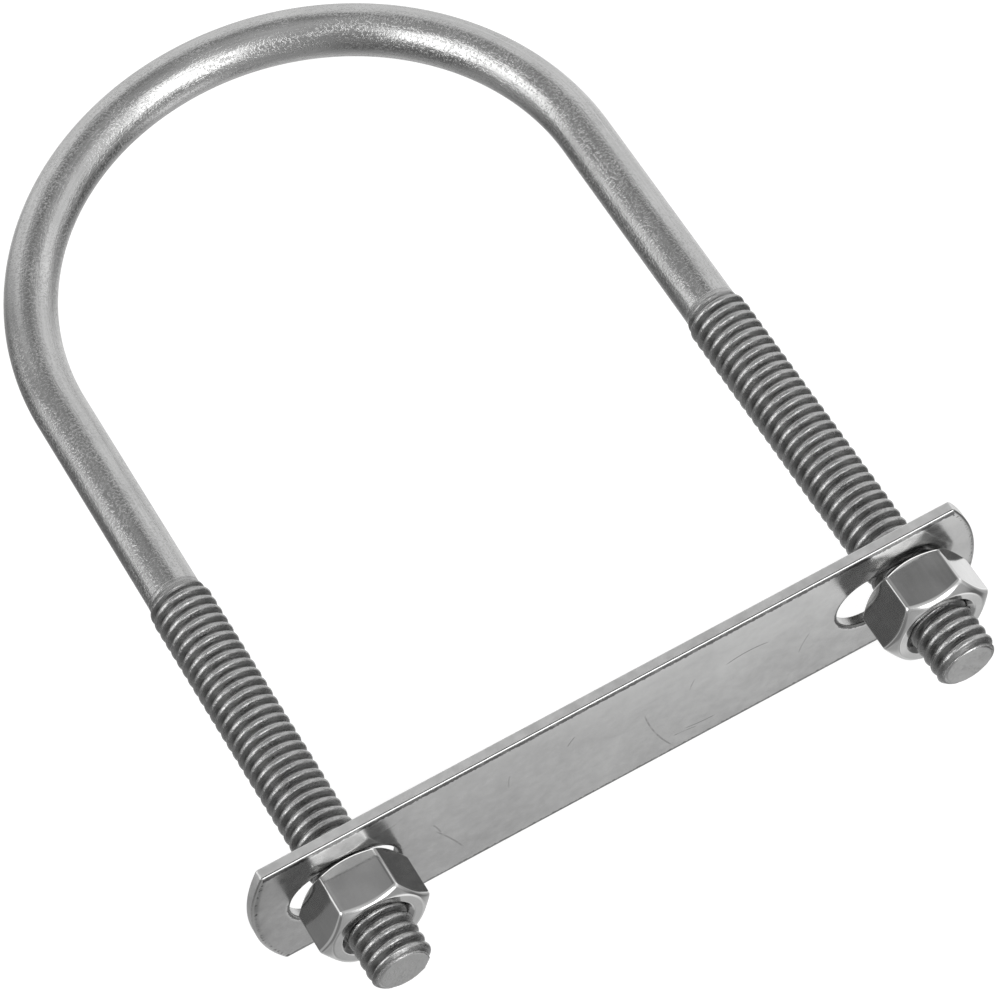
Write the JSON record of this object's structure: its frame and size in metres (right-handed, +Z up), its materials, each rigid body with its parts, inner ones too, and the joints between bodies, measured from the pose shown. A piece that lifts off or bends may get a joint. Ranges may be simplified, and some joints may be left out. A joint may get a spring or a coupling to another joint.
{
  "type": "u-bolt",
  "caption": "Round-bend U-bolt: a bent steel rod with threaded legs, a slotted clamping strap across the legs and hexagon nuts that draw the strap along the threads.",
  "frame": {"origin": "middle of the footprint, on the surface that the strap's lower long edge stands on", "axes": "+Y along the legs from the nuts towards the bend, +X across the legs, +Z up, square to the plane of the U"},
  "size_m": [0.0942, 0.1278, 0.0209],
  "materials": {
    "rod_steel": "bright drawn stainless steel, rolled thread on both legs",
    "strap_steel": "satin stainless strip with edges rolled over by the press",
    "nut_steel": "bright machined stainless steel"
  },
  "bodies": {
    "rod": {"u_rod": "rod_steel"},
    "strap": {"strap_plate": "strap_steel"},
    "nut_left": {"left_nut": "nut_steel"},
    "nut_right": {"right_nut": "nut_steel"}
  },
  "joints": [
    {"name": "strap_travel", "type": "slide", "parent": "rod", "child": "strap", "axis": [0, 1, 0], "range_m": [-0.02, 0.04]},
    {"name": "left_nut_spin", "type": "hinge", "parent": "strap", "child": "nut_left", "pos_m": [-0.03505, -0.04998, 0.01045], "axis": [0, 1, 0], "range_deg": [-5110, 10215]},
    {"name": "right_nut_spin", "type": "hinge", "parent": "strap", "child": "nut_right", "pos_m": [0.03803, -0.05116, 0.01045], "axis": [0, 1, 0], "range_deg": [-5110, 10215]}
  ],
  "couplings": [
    {"joint": "left_nut_spin", "follows": "strap_travel", "rad_per_m": 4452.7},
    {"joint": "right_nut_spin", "follows": "strap_travel", "rad_per_m": 4452.7}
  ]
}
